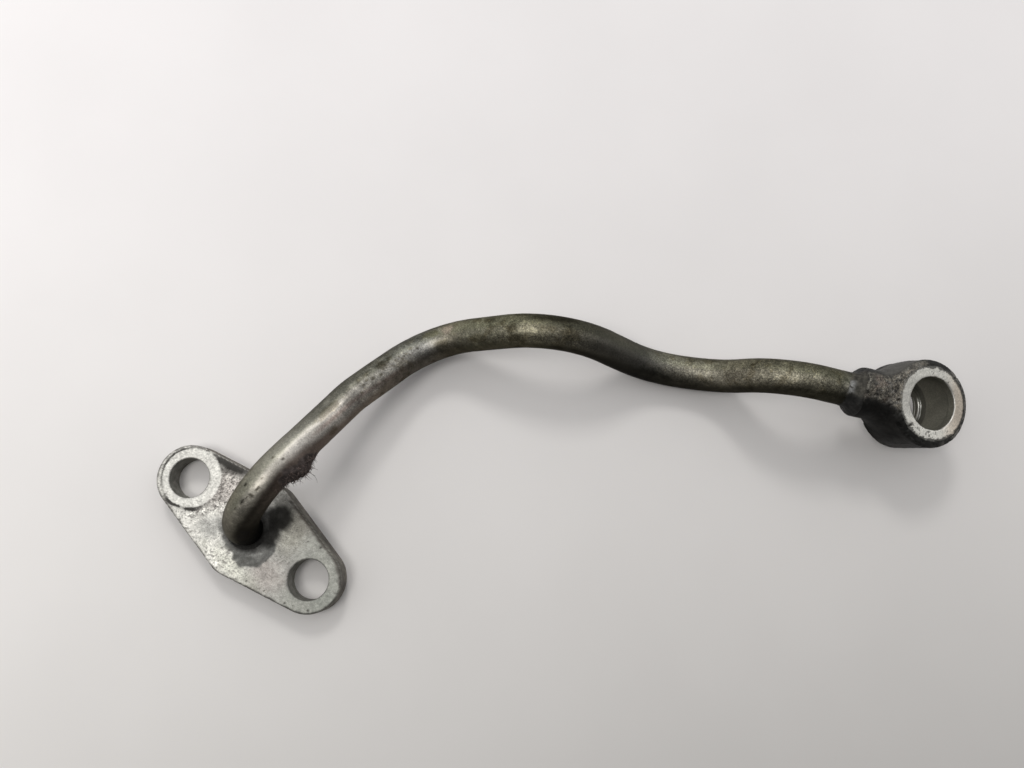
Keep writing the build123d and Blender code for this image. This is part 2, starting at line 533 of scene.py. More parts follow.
def mark(s0, a0, ds, dw, edge=0.35):
    """A spot on the pipe's skin: place along, degrees round, half sizes in mm."""
    dd = (deg - a0 + 180) % 360 - 180
    e = np.hypot((s_all - s0) / ds, np.radians(dd) * TUBE_R / dw)
    e = e + (0.9 if max(ds, dw) > 0.65 else 0.35) * (fbm(tube_v, 0.9, 57, 3) - 0.5)
    return (1 - smooth(1 - edge, 1 + edge, e)) * (1 - is_in)


# dark spots and scratches on the skin; the wide mark at 47.4 mm, -4 degrees round, is painted shade that darkens the
# top where the highlight would fall
for s0, a0, ds, dw, k in (
    (64.1, -15, 1.9, 1.0, 0.34), (60.1, 9, 0.6, 0.45, 0.40), (57.3, 9, 0.4, 0.35, 0.45), (55.8, 27, 0.4, 0.4, 0.45),
    (66.6, -18, 0.7, 0.5, 0.5), (25.2, -27, 0.36, 0.34, 0.15), (22.7, 0, 0.62, 0.30, 0.12), (24.5, 12, 0.34, 0.62, 0.15),
    (26.1, 14, 0.62, 0.28, 0.15), (32.6, 9, 0.34, 0.3, 0.2), (31.7, -18, 0.3, 0.28, 0.3), (27.9, 4, 0.28, 0.26, 0.3), (81.4, 24, 2.2, 1.2, 0.55),
    (101.6, 6, 1.0, 1.25, 0.40), (101.9, 39, 1.4, 0.9, 0.45), (95.8, -33, 1.6, 0.7, 0.5), (111, -42, 4.0, 1.3, 0.5),
    (71, 2, 0.5, 0.35, 0.5), (69.3, 12, 0.4, 0.4, 0.5), (73, -8, 0.6, 0.35, 0.6), (167, -22, 0.5, 0.4, 0.5),
    (45, 60, 1.2, 0.9, 0.6), (93, 30, 2.5, 1.0, 0.7), (113.5, 14, 2.0, 1.6, 0.6),
    (47.4, -4, 3.6, 1.1, 0.62), (58.6, 2, 0.5, 0.4, 0.45), (62.2, 14, 0.6, 0.35, 0.5), (67.5, 4, 0.4, 0.4, 0.45),
    (68.8, -2, 0.35, 0.3, 0.45), (70.1, 6, 0.3, 0.35, 0.45), (71.8, 12, 0.35, 0.3, 0.5), (74.6, 2, 0.45, 0.3, 0.5),
    (57.0, 20, 0.3, 0.3, 0.5), (63.6, 4, 0.35, 0.3, 0.5), (23.8, 4, 0.25, 0.22, 0.25), (20.6, -8, 0.3, 0.25, 0.3),
):
    tint = mix(tint, tint * k * np.array([1.0, 0.96, 0.86]), 0.9 * mark(s0, a0, ds, dw))
tint = mix(tint, lum(0.25, (1.22, 1.0, 0.86)), 0.75 * mark(84.4, -24, 1.5, 1.3))
tint = mix(tint, lum(0.16, (1.08, 1.0, 0.62)), 0.65 * mark(79.6, -27, 2.0, 1.0))
# lighter patches on the skin; the two at 25.2 mm and 47.5 mm, 22 to 25 degrees round, are painted highlight
for s0, a0, ds, dw, k in ((78.5, 9, 2.4, 0.8, 1.35), (105.5, 8, 4.0, 1.6, 1.12), (145, -5, 3.5, 0.9, 1.2), (68, 0, 3.0, 0.8, 1.2), (47.5, 25, 3.4, 1.0, 1.7), (25.2, 22, 2.6, 0.9, 1.5), (88, -32, 6.0, 1.8, 1.45)):
    tint = tint * (1 + (k - 1) * mark(s0, a0, ds, dw, 0.6))[:, None]
# painted shade: the side turned down to the table is darkened, and browner, past a wandering line round the pipe
turn = stops(s_all, [
    (0, 26), (12, 22), (19, 22), (23, 30), (26, 30), (30, 21), (38, 26), (46, 50), (52, 54), (57, 50), (64, 36),
    (71, 27), (77, 27), (89, 40), (100, 44), (109, 54), (117, 50), (126, 36), (139, 26), (151, 36), (162, 44),
    (172, 35), (179, 31), (190, 20),
])
turn = turn + 14 * (fbm(tube_v, 2.2, 61, 3) - 0.5)
beneath = smooth(-130, -165, deg)
painted_shade_side = np.maximum(smooth(-12, 20, deg - turn), beneath) * (1 - smooth(185, 192, s_all))
depth = stops(s_all, [
    (0, 0.26), (10, 0.22), (22, 0.13), (27, 0.20), (31, 0.20), (44, 0.34), (56, 0.55), (66, 0.54), (76, 0.32), (90, 0.38),
    (100, 0.38), (117, 0.36), (126, 0.30), (140, 0.17), (154, 0.24), (166, 0.32), (180, 0.24), (190, 0.30),
])
shade_hue = stops(s_all, [
    (0, (1.0, 1.0, 0.95)), (22, (1.06, 0.99, 0.94)), (29, (1.16, 0.96, 0.90)), (40, (1.14, 0.97, 0.90)),
    (60, (1.10, 0.98, 0.90)), (90, (1.02, 1.0, 0.90)), (200, (1.0, 1.0, 0.95)),
])
tint = mix(tint, tint * depth[:, None] * shade_hue, painted_shade_side)
# painted shade: the lowest edge beyond 100 mm is darkened further, in place of the floor's reflection
lower_edge_shade = np.maximum(smooth(48, 72, deg), beneath) * smooth(100, 112, s_all) * (1 - 0.5 * smooth(168, 180, s_all))
tint = tint * (1 - 0.55 * lower_edge_shade)[:, None]
# a darker brown line runs along the first straight; painted shade darkens one upper flank of the pipe (negative angles
# round it), with an olive cast
line_at = stops(s_all, [(38, 20), (47, 27), (56, 33), (66, 40), (75, 40)])
line = np.exp(-(((deg - line_at) / 9.0) ** 2)) * smooth(38, 45, s_all) * (1 - smooth(64, 73, s_all))
tint = mix(tint, tint * np.array([0.62, 0.52, 0.50]), 0.8 * line)
flank_shade_amount = stops(s_all, [
    (18, 0.35), (26, 0.35), (30, 0.25), (38, 0.38), (44, 0.55), (52, 0.52), (58, 0.44), (64, 0.34), (71, 0.40),
    (77, 0.55), (84, 0.20), (92, 0.0), (100, 0.12), (106, 0.62), (112, 0.62), (119, 0.35), (124, 0.0), (142, 0.0),
    (149, 0.38), (156, 0.28), (163, 0.08), (169, 0.48), (175, 0.52), (181, 0.55), (186, 0.20),
])
painted_flank_shade = smooth(6, -16, deg + 8 * (fbm(tube_v, 2.0, 63, 3) - 0.5)) * smooth(-179, -120, deg) * smooth(16, 22, s_all)
tint = mix(tint, tint * np.array([0.97, 1.0, 0.92]) * (1 - flank_shade_amount)[:, None], painted_flank_shade)
# painted shade: the same flank is darkened further, from 25 degrees round
far_flank_shade = smooth(25, 75, -deg) * smooth(18, 26, s_all) * (1 - beneath)
tint = tint * (1 - 0.40 * far_flank_shade)[:, None]
# painted shade on the inside of the first bend, above the flange
foot = smooth(23, 15, s_all) * smooth(20, 60, np.abs((deg + 80) % 360 - 180) * -1 + 125)
tint = tint * (1 - 0.55 * foot)[:, None]
tint = mix(np.clip(tint, 0.008, 0.8), np.array([0.05, 0.045, 0.04]), is_in)
grain = stops(s_all, [(0, 0.15), (20, 0.25), (30, 0.15), (48, 0.3), (60, 0.6), (90, 0.5), (100, 0.9), (116, 0.8), (121, 0.15), (134, 0.25), (142, 0.8), (160, 0.8), (168, 1.0), (183, 1.0), (187, 0.2)])
grain = grain * (1 - 0.6 * painted_shade_side)
t_rough = 0.44 - 0.02 * calm + 0.10 * blotch + 0.06 * painted_shade_side
# purple-brown lint lies on the skin under the tuft, with paler flecks in it
wool_at = smooth(26.5, 31.0, s_all) * (1 - smooth(36.0, 40.5, s_all)) * np.exp(-(((deg - 88) / 50.0) ** 4)) * (1 - is_in)
wool = smooth(0.34, 0.62, wool_at + 0.8 * (fbm(tube_v, 1.1, 311, 3) - 0.5))
wool_tint = lum(0.036, (1.18, 0.97, 0.92)) * np.exp(2.4 * (fbm(tube_v, 0.6, 313, 2) - 0.5))[:, None]
tint = mix(tint, wool_tint, 0.92 * wool)
t_rough = t_rough + (0.85 - t_rough) * wool
t_metal = np.where(is_in > 0, 0.3, 0.80) * (1 - 0.95 * wool)
t_rough = np.where(is_in > 0, 0.7, t_rough)

T = Tree("tube_steel_worn")
base = T.attr("tint", True)
g_amt = T.attr("pitted")
fine_n = T.noise(2.9, 3, 0.62)
mid_n = T.noise(0.9, 4, 0.6, seed=6)
spread = T.math("MULTIPLY", T.math("SUBTRACT", fine_n, 0.5), T.math("MULTIPLY_ADD", g_amt, 3.3, 0.8))
spread = T.math("ADD", spread, T.math("MULTIPLY", T.math("SUBTRACT", mid_n, 0.5), T.math("MULTIPLY_ADD", g_amt, 0.5, 0.3)))
gain = T.math("EXPONENT", spread)
comb = T.t.nodes.new("ShaderNodeCombineColor")
for k in range(3):
    T.put(comb.inputs[k], gain)
col = T.mixc(1.0, base, comb.outputs[0], "MULTIPLY")
glint = T.math("MULTIPLY", T.step(T.noise(2.3, 2, 0.5, seed=9), 0.60, 0.70), T.math("MULTIPLY", g_amt, 0.42))
col = T.mixc(glint, col, T.mixc(1.0, base, c4(3.2, 3.1, 2.7), "MULTIPLY"))
pits = T.math("MULTIPLY", T.step(T.cells(1.5), 0.10, 0.22, 1.0, 0.0), T.step(T.noise(0.22, 3, 0.6, seed=4), 0.50, 0.64))
pits = T.math("MULTIPLY", pits, T.math("MULTIPLY_ADD", g_amt, 0.7, 0.15))
col = T.mixc(pits, col, c4(0.022, 0.019, 0.014))
T.put(T.bsdf.inputs["Base Color"], col)
T.put(T.bsdf.inputs["Metallic"], T.attr("metal"))
T.bsdf.inputs["Specular IOR Level"].default_value = 0.3
T.bsdf.inputs["Specular Tint"].default_value = c4(0.45, 0.44, 0.42)
ro = T.math("ADD", T.attr("rough"), T.math("MULTIPLY", T.math("SUBTRACT", fine_n, 0.5), 0.25), clamp=True)
ro = T.math("ADD", ro, T.math("MULTIPLY", pits, 0.3), clamp=True)
T.put(T.bsdf.inputs["Roughness"], ro)
h = T.math("SUBTRACT", T.math("MULTIPLY", fine_n, 0.6), pits)
T.put(T.bsdf.inputs["Normal"], T.bump(h, 0.05, 0.5))
tube_mat = T.mat

# a tuft of brown lint caught on the low side of the first straight
rng = np.random.default_rng(7)
hair_v, hair_f, hair_c = [], [], []
hair_count = len(tube_v)
IMG_R = np.array([0.781, 0.625, 0.0])
IMG_U = np.array([-0.625, 0.781, 0.0])
AWAY = 0.70 * IMG_R - 0.72 * IMG_U


def hair(start, heading, length, curl, radius, steps=6, sides=3):
    global hair_count
    p = np.array(start, float)
    d = np.array(heading, float) / np.linalg.norm(heading)
    axis = rng.normal(size=3)
    axis /= np.linalg.norm(axis)
    rows = []
    for i in range(steps + 1):
        rows.append(p.copy())
        p = p + d * length / steps
        d = d + np.cross(axis, d) * curl / steps
        d /= np.linalg.norm(d)
    rows = np.array(rows)
    t = np.gradient(rows, axis=0)
    t /= np.linalg.norm(t, axis=1)[:, None]
    side = np.cross(t, axis)
    side /= np.maximum(np.linalg.norm(side, axis=1, keepdims=True), 1e-6)
    other = np.cross(t, side)
    turns = np.linspace(0, 2 * math.pi, sides, endpoint=False)
    width = radius * np.linspace(1, 0.4, steps + 1)[:, None, None]
    ring_pts = rows[:, None, :] + width * (
        np.cos(turns)[None, :, None] * side[:, None, :] + np.sin(turns)[None, :, None] * other[:, None, :]
    )
    hair_v.append(ring_pts.reshape(-1, 3))
    hair_f.append(grid_faces(steps + 1, sides, hair_count))
    hair_c.append(np.tile(np.array([0.100, 0.076, 0.068]) * rng.uniform(0.35, 1.5), (sides * (steps + 1), 1)))
    hair_count += sides * (steps + 1)


def skin_point(s0, a0):
    i = int(np.searchsorted(arc, s0))
    j0 = int(round((a0 % 360) / 360 * RING)) % RING
    a0 = math.radians(a0)
    n0 = math.cos(a0) * upv[i] + math.sin(a0) * sidev[i]
    return outer[i * RING + j0] - n0 * 0.08, n0, tan[i]


for _ in range(460):
    s0 = rng.normal(33.6, 2.1) if rng.random() < 0.6 else rng.uniform(27.5, 38.5)
    s0 = min(max(s0, 27.0), 39.5)
    p0, n0, t0 = skin_point(s0, rng.uniform(55, 118))
    heading = n0 * rng.uniform(0.0, 0.9) + AWAY * rng.uniform(0.0, 0.7) + t0 * rng.normal(0, 1.1) + np.array([0, 0, rng.normal(-0.1, 0.5)])
    hair(p0, heading, rng.uniform(0.4, 1.25), rng.uniform(0.4, 2.6), rng.uniform(0.032, 0.062))
for s0, a0, fwd, length, curl in (
    (33.6, 88, -0.2, 2.6, 1.1), (34.4, 84, 0.6, 3.7, 1.9), (33.0, 92, -0.9, 2.3, 0.8), (35.4, 82, 0.9, 2.2, 1.2),
    (31.4, 90, -0.6, 1.7, 1.0), (29.6, 92, -0.5, 1.5, 0.9), (30.6, 88, 0.2, 1.4, 0.7), (34.0, 90, 0.1, 2.0, 0.9),
    (32.4, 94, -0.4, 1.8, 1.3), (36.2, 86, 0.5, 1.5, 1.1), (34.9, 90, -0.2, 1.9, 0.7), (33.3, 84, 0.3, 1.6, 1.5),
):
    p0, n0, t0 = skin_point(s0, a0)
    hair(p0, n0 * 0.4 + AWAY * 0.9 + t0 * fwd, length, curl, 0.055, steps=10, sides=4)
hair_v = np.concatenate(hair_v)
tube_all_v = np.concatenate([tube_v, hair_v])
tube_all_f = np.concatenate([tube_f] + hair_f)
extra_n = len(hair_v)
tube_obj = make_piece(
    "pipe_skin", tube_all_v, tube_all_f, tube_mat, "oil_tube",
    np.concatenate([tint, np.concatenate(hair_c)]), np.concatenate([t_rough, np.full(extra_n, 0.85)]),
    metal=np.concatenate([t_metal, np.zeros(extra_n)]),
    extra={"pitted": np.concatenate([grain, np.zeros(extra_n)])}, sharp=50,
)


# ----------------------------------------------------------------------------
# Flange
# ----------------------------------------------------------------------------
dirs = np.linspace(0, 2 * math.pi, 480, endpoint=False)
dirs = np.stack([np.cos(dirs), np.sin(dirs)], 1)
hull = [((-HOLE_X, 0), LOBE_R), ((HOLE_X, 0), LOBE_R), ((0.5, 6.1), 6.0), ((0.5, -6.1), 6.0)]
support = np.max([dirs @ np.array(c) + r for c, r in hull], axis=0)


def plan(p):
    out = np.full(len(p), -1e9)
    for s in range(0, len(dirs), 60):
        out = np.maximum(out, (p[:, :2] @ dirs[s : s + 60].T - support[s : s + 60]).max(1))
    return out


def flange_sdf(p):
    x, y, z = p[:, 0], p[:, 1], p[:, 2]
    d2 = plan(p)
    d = smax(d2, z - PLATE, 0.45)
    d = smax(d, -z, 0.3)
    for hx in (-HOLE_X, HOLE_X):
        r = np.hypot(x - hx, y)
        d = smax(d, HOLE_R - r, 0.3)
    r = np.hypot(x, y)
    socket = np.maximum(r - TUBE_R, 1.5 - z)
    d = np.maximum(d, -np.minimum(socket, r - 3.0))
    return d


fv, ff = surface(flange_sdf, (-28, -13.2, -1), (28, 13.2, 7), 0.25)
fn = normals_of(fv, ff)
if (fn[:, 2] * (fv[:, 2] - 3)).sum() < 0:
    ff = ff[:, ::-1]
    fn = -fn
r1 = np.hypot(fv[:, 0] + HOLE_X, fv[:, 1])
r2 = np.hypot(fv[:, 0] - HOLE_X, fv[:, 1])
r0 = np.hypot(fv[:, 0], fv[:, 1])
edge = -plan(fv)  # mm inside the outline
top = smooth(0.6, 0.95, fn[:, 2])
side_wall = 1 - smooth(0.35, 0.8, np.abs(fn[:, 2]))
# the bright ring that a washer left round the first hole, a little off its centre
wx, wy = fv[:, 0] + 18.55, fv[:, 1] - 0.45
rw = np.hypot(wx, wy) + 0.35 * (fbm(fv, 2.4, 61, 3) - 0.5)
wash = top * (1 - smooth(6.95, 7.20, rw))
dent = 0.10 * (fbm(fv, 6.0, 63, 3) - 0.5) + 0.05 * (fbm(fv, 1.2, 67, 3) - 0.5) * (1 - 0.6 * wash)
dent = dent - 0.015 * wash
keep_flat = np.where((fv[:, 2] < 0.6) | (r0 < 4.4), 0.0, 1.0)
nick = smooth(0.66, 0.80, fbm(fv, 2.2, 71, 3)) * smooth(1.2, 0.2, edge) * keep_flat
fv = fv + fn * ((dent * keep_flat) - 0.12 * nick)[:, None]
fv[:, 2] = np.clip(fv[:, 2], 0.0, None)

x, y, z = fv.T
w1 = fbm(fv, 3.2, 91, 4) - 0.5
w2 = fbm(fv, 1.0, 93, 3) - 0.5
w3 = fbm(fv, 0.5, 95, 2) - 0.5


def spot(cx, cy, rx, ry=None, soft=0.3, turned=0.0, warp=1.0):
    """A patch on the plate: 1 inside, 0 outside, with an uneven edge."""
    ry = ry or rx
    ca, sa = math.cos(math.radians(turned)), math.sin(math.radians(turned))
    px, py = (x - cx) * ca + (y - cy) * sa, (y - cy) * ca - (x - cx) * sa
    e = np.hypot(px / rx, py / ry) + warp * (1.6 * w1 + 0.8 * w2) / max(1.0, min(rx, ry)) ** 0.5
    return 1 - smooth(1 - soft, 1 + soft, e)


def lay(colour, amount):
    global f_tint
    f_tint = mix(f_tint, colour, np.clip(amount, 0, 1))


f_tint = np.tile(np.array([0.60, 0.585, 0.54]), (len(fv), 1))
lay(np.array([0.60, 0.545, 0.50]), 0.8 * spot(10.5, -5.2, 4.2, 3.4, 0.6))
lay(np.array([0.57, 0.52, 0.48]), 0.6 * spot(-10.5, 3.5, 3.4, 5.0, 0.6))
lay(np.array([0.62, 0.62, 0.52]), 0.5 * spot(3.0, -9.0, 7.0, 2.2, 0.6))
lay(np.array([0.52, 0.50, 0.42]), 0.7 * spot(9.0, 5.2, 4.0, 4.0, 0.6))
lay(np.array([0.53, 0.535, 0.475]), 0.8 * smooth(12.0, 17.5, x + 0.25 * y + 4.0 * w1))
lay(np.array([0.44, 0.465, 0.41]), 0.45 * spot(25.0, -1.0, 1.8, 3.5, 0.7))
# the plate is darker toward +x: partly its own tone, partly a painted reflection of the light from the left
f_tint = f_tint * stops(x + 0.15 * y, [(-4, 1.0), (3, 0.90), (9, 0.63), (14, 0.56), (27, 0.47)])[:, None]
f_tint = f_tint * np.exp(0.45 * w1 + 0.45 * w2 + 0.5 * w3)[:, None]
lay(np.array([0.565, 0.555, 0.515]) * (1 - 0.04 * smooth(-24, -13, x))[:, None] * np.exp(0.35 * w2 + 0.5 * w3)[:, None], 0.82 * wash)
# grey flux stain round the foot of the pipe
stain = np.array([0.175, 0.175, 0.165])
band = np.maximum.reduce([spot(0.2, -0.6, 6.2, 6.0, 0.10, warp=0.55), spot(3.6, -3.6, 4.3, 3.9, 0.10, warp=0.5), spot(5.6, -1.4, 2.9, 3.4, 0.12, warp=0.5)])
lay(stain * np.exp(1.6 * w2 + 1.0 * w3)[:, None], 0.90 * band)
lay(np.array([0.34, 0.335, 0.315]) * np.exp(1.2 * w2)[:, None], 0.65 * spot(-7.2, -5.2, 2.6, 2.2, 0.5))
# painted shade: a near-black patch on the plate under the pipe's first bend
between = spot(2.6, 4.0, 3.6, 3.4, 0.40, warp=0.4)
lay(np.array([0.042, 0.041, 0.039]) * np.exp(0.8 * w2)[:, None], 0.92 * between)
lay(np.array([0.085, 0.080, 0.068]), 0.60 * spot(3.4, 9.2, 3.6, 2.2, 0.7, warp=0.8))
lay(np.array([0.17, 0.16, 0.135]), 0.60 * spot(8.0, 8.0, 3.4, 2.6, 0.6))
lobe = np.maximum(spot(4.2, 6.3, 3.1, 3.0, 0.28, warp=0.40), spot(5.0, 2.4, 2.5, 3.0, 0.34, warp=0.4))
lay(np.array([0.021, 0.020, 0.018]) * np.exp(0.5 * w2)[:, None], 0.93 * lobe)
black_foot = top * (1 - smooth(4.8, 6.4, r0 + 1.4 * w1))
lay(np.array([0.032, 0.031, 0.029]), 0.90 * black_foot)
rimmed = band * (1 - spot(0.2, -0.6, 5.8, 5.6, 0.10, warp=0.55)) * smooth(-3.0, -5.0, y)
lay(np.array([0.09, 0.09, 0.08]), 0.45 * rimmed)
# speckled, rusty ground between the washer's mark and the pipe
dots = noise(fv, 0.40, 151) * 0.5 + noise(fv, 0.25, 157) * 0.5
dense = top * (1 - wash) * np.maximum(spot(-11.2, 3.2, 3.4, 5.2, 0.5), 0.75 * spot(-12.5, -3.0, 3.0, 3.0, 0.5))
some = top * (1 - wash) * smooth(15, 4, x + 3 * w1)
lay(np.array([0.075, 0.062, 0.055]), 0.62 * dense * smooth(0.50, 0.60, dots + 0.03))
lay(np.array([0.30, 0.27, 0.25]), 0.22 * dense)
clear = 1 - np.maximum(lobe, between)
lay(np.array([0.12, 0.11, 0.10]), 0.6 * clear * some * smooth(0.66, 0.74, dots + 0.5 * w1))
lay(np.array([0.14, 0.13, 0.12]), 0.35 * clear * top * smooth(0.70, 0.78, dots + 0.3 * w2))
lay(np.array([0.30, 0.29, 0.27]), 0.6 * wash * smooth(0.60, 0.72, dots + 0.45 * w2))
# oil and dirt held against the washer's edge, and along the plate's own edges
a_w = np.degrees(np.arctan2(wy, wx))
below = smooth(48, 18, np.abs(a_w + 72))
left_side = smooth(50, 20, np.abs(np.abs(a_w) - 168))
ring = top * smooth(7.0, 7.15, rw) * (1 - smooth(7.40 + 0.7 * w1 + 0.25 * below, 7.70 + 0.7 * w1 + 0.25 * below, rw))
ring_amt = np.clip(0.95 * below * smooth(0.36, 0.46, fbm(fv, 1.2, 97, 3)) + 0.75 * left_side + 0.25, 0, 1)
lay(np.array([0.045, 0.042, 0.038]), ring * ring_amt)
lay(np.array([0.045, 0.042, 0.037]), 0.75 * top * (1 - wash) * spot(-12.6, 8.0, 4.2, 1.5, 0.5, turned=14, warp=0.5))
lay(np.array([0.026, 0.024, 0.021]), 0.96 * top * (1 - wash) * spot(-13.6, 8.6, 4.4, 1.25, 0.25, turned=14, warp=0.40))
lay(np.array([0.06, 0.055, 0.05]), 0.7 * top * (1 - wash) * spot(-9.4, 10.4, 3.4, 0.9, 0.4, turned=14, warp=0.4))
rim = top * smooth(0.62, 0.12, edge + 0.7 * w2)
lay(np.array([0.055, 0.050, 0.044]), 0.80 * rim)
brown_edge = top * smooth(1.15, 0.55, edge + 0.8 * w2) * smooth(2.0, 5.0, y) * smooth(2.0, 6.0, x)
lay(np.array([0.050, 0.041, 0.034]), 0.75 * brown_edge)
for sx, sy, sr in ((18.2, -7.3, 0.42), (23.6, -5.2, 0.5), (16.4, 7.4, 0.4), (24.4, 5.0, 0.35), (13.2, 6.6, 0.3), (20.1, -6.6, 0.3), (12.6, -8.2, 0.3), (-4.0, -10.2, 0.35), (7.9, -9.2, 0.3), (26.0, 1.6, 0.3)):
    lay(np.array([0.04, 0.036, 0.03]), 0.9 * top * spot(sx, sy, 0.62 * sr, soft=0.4, warp=0.4))
wall = np.array([0.125, 0.115, 0.10]) * np.exp(1.6 * w1 + 1.2 * w2)[:, None]
lay(wall, side_wall)
hole_wall = side_wall * ((r1 < 5.4) | (r2 < 5.4))
lay(np.array([0.21, 0.205, 0.185]) * np.exp(1.0 * w1 + 1.0 * w2)[:, None], hole_wall)
# the sealing face is plain, worn and a little stained
under = smooth(0.5, 0.9, -fn[:, 2])
lay(np.array([0.40, 0.395, 0.37]) * np.exp(0.8 * w1 + 0.4 * w2)[:, None], under)
lay(np.array([0.20, 0.195, 0.18]), 0.5 * under * (1 - smooth(4.0, 7.0, r0 + 2.0 * w1)))
f_tint = np.clip(f_tint, 0.01, 0.85)
f_rough = 0.50 + 0.25 * lobe * top + 0.12 * band + 0.12 * side_wall + 0.08 * ring - 0.06 * wash + 0.1 * dense
pit_amount = np.clip(top * (0.20 + 0.8 * dense + 0.30 * some) * (1 - 0.5 * wash) * (1 - 0.6 * band) * (1 - lobe), 0, 1)

F = Tree("flange_steel_pitted")
base = F.attr("tint", True)
pit_attr = F.attr("pitted")
g1 = F.noise(3.0, 4, 0.6)
g2 = F.noise(0.9, 4, 0.6, seed=3)
spread = F.math("MULTIPLY", F.math("SUBTRACT", g1, 0.5), F.math("MULTIPLY_ADD", pit_attr, 1.6, 1.0))
spread = F.math("ADD", spread, F.math("MULTIPLY", F.math("SUBTRACT", g2, 0.5), 0.5))
gain = F.math("EXPONENT", spread)
comb = F.t.nodes.new("ShaderNodeCombineColor")
for k in range(3):
    F.put(comb.inputs[k], gain)
col = F.mixc(1.0, base, comb.outputs[0], "MULTIPLY")
p1 = F.step(F.cells(2.1, seed=1), 0.24, 0.33, 1.0, 0.0)
p2 = F.step(F.cells(1.2, seed=2), 0.08, 0.17, 1.0, 0.0)
spots = F.math("MAXIMUM", F.math("MULTIPLY", p1, F.step(g2, 0.46, 0.60)), F.math("MULTIPLY", p2, F.step(g2, 0.60, 0.42)))
spots = F.math("MULTIPLY", spots, pit_attr)
col = F.mixc(F.math("MULTIPLY", spots, 0.95), col, c4(0.036, 0.031, 0.027))
F.put(F.bsdf.inputs["Base Color"], col)
F.put(F.bsdf.inputs["Metallic"], F.attr("metal"))
F.bsdf.inputs["Specular Tint"].default_value = c4(0.6, 0.6, 0.58)
F.bsdf.inputs["Specular IOR Level"].default_value = 0.4
F.put(F.bsdf.inputs["Specular IOR Level"], F.attr("sheen"))
ro = F.math("ADD", F.attr("rough"), F.math("MULTIPLY", F.math("SUBTRACT", g1, 0.5), 0.25), clamp=True)
F.put(F.bsdf.inputs["Roughness"], F.math("ADD", ro, F.math("MULTIPLY", spots, 0.25), clamp=True))
h = F.math("SUBTRACT", F.math("MULTIPLY", g1, 0.6), spots)
F.put(F.bsdf.inputs["Normal"], F.bump(h, 0.05, 0.6))
flange_mat = F.mat
flange_obj = make_piece(
    "flange_plate", fv, ff, flange_mat, "flange", f_tint, f_rough,
    metal=0.45 * (1 - np.maximum(lobe, 0.9 * between) * (1 - under)) * (1 - 0.7 * black_foot),
    extra={"pitted": pit_amount, "sheen": 0.5 - 0.42 * np.maximum(lobe, black_foot) * (1 - under)},
)


# ----------------------------------------------------------------------------
# Banjo eye with its neck
# ----------------------------------------------------------------------------
def mouth_shift(turned):
    """How far the neck's mouth and the filler are drawn out past the plain mouth, by the angle round the neck."""
    return stops(turned, [(-180, 0.5), (-110, 0.0), (-70, 0.2), (-35, 1.5), (0, 2.3), (30, 2.3), (65, 1.6), (110, 0.9), (180, 0.5)])


def eye_sdf(q):
    """q is along the neck, across, and along the bore, in mm from the eye's centre."""
    u, v, w = q[:, 0], q[:, 1], q[:, 2]
    mouth = MOUTH + mouth_shift(np.degrees(np.arctan2(v, w)))
    r = np.hypot(u, v)
    aw = np.abs(w)
    half = EYE_H / 2
    body = smax(r - EYE_R, ((r - SEAT_R) * 0.8 + (aw - half) * 1.65) / 1.834, 0.5)
    rr = np.hypot(v, w)
    neck = smax(rr - NECK_R, u - mouth, 0.7)
    neck = np.maximum(neck, -u)
    root = (rr - NECK_R - (11.0 - u) * 0.4844) / 1.111
    root = smax(root, aw - 5.5, 1.0)
    root = smax(root, u - 11.6, 0.6)
    root = np.maximum(root, 3.0 - u)
    d = smin(smin(body, root, 0.9), neck, 0.7)
    d = smax(d, aw - half, 0.12)
    d = smax(d, EYE_BORE - r, 0.26)
    d = np.maximum(d, -np.maximum(r - 6.75, aw - 4.5))
    d = np.maximum(d, -np.maximum(rr - TUBE_R, SOCKET - u))
    d = np.maximum(d, -np.maximum(np.maximum(rr - 2.5, 5.0 - u), u - 10.6))
    return d


ev, ef = surface(eye_sdf, (-10.9, -10.9, -7.1), (18.2, 10.9, 7.1), 0.21)
en = normals_of(ev, ef)
er = np.hypot(ev[:, 0], ev[:, 1])
out_dir = (en[:, 0] * ev[:, 0] + en[:, 1] * ev[:, 1])
if out_dir[er > EYE_R - 0.3].sum() < 0:
    ef = ef[:, ::-1]
    en = -en
u, v, w = ev.T
HALF = EYE_H / 2
seat = smooth(0.90, 0.98, np.abs(en[:, 2])) * (np.abs(np.abs(w) - HALF) < 0.12) * (er < SEAT_R + 0.25)
in_bore = ((er < EYE_BORE + 0.16) & (np.abs(w) < HALF - 0.1)).astype(float)
in_relief = ((er < 6.95) & (np.abs(w) < 4.6)).astype(float) * (1 - in_bore)
rough_skin = (1 - seat) * (1 - np.clip(in_bore + in_relief, 0, 1))
n32 = fbm(ev, 3.2, 111, 4) - 0.5
n09 = fbm(ev, 0.9, 113, 3) - 0.5
lump = 0.16 * n32 + 0.08 * n09
nicks = 0.25 * smooth(0.60, 0.72, fbm(ev, 1.1, 117, 3)) * smooth(SEAT_R - 0.35, SEAT_R, er) * (np.abs(w) > 5.2)
ev = ev + en * (lump * rough_skin - nicks * (1 - 0.35 * seat))[:, None]
# one nick in the ring's outer edge, and a small pit on the ring
for (nu, nv, nr, nd) in ((5.15, 6.3, 0.50, 0.5), (0.15, 6.7, 0.26, 0.2)):
    k = np.exp(-(((ev[:, 0] - nu) ** 2 + (ev[:, 1] - nv) ** 2) / nr**2)) * (w > 5.0)
    ev = ev - np.array([0, 0, 1.0]) * (nd * k)[:, None]
eye_world = EYE + ev[:, :1] * NECK + ev[:, 1:2] * SIDE + ev[:, 2:3] * EYE_N

e1 = fbm(ev, 2.0, 121, 4) - 0.5
e2 = fbm(ev, 0.8, 125, 3) - 0.5
e3 = noise(ev, 0.33, 126) - 0.5
e_tint = np.array([0.020, 0.0195, 0.018]) * np.exp(1.6 * e1 + 0.9 * e2)[:, None]
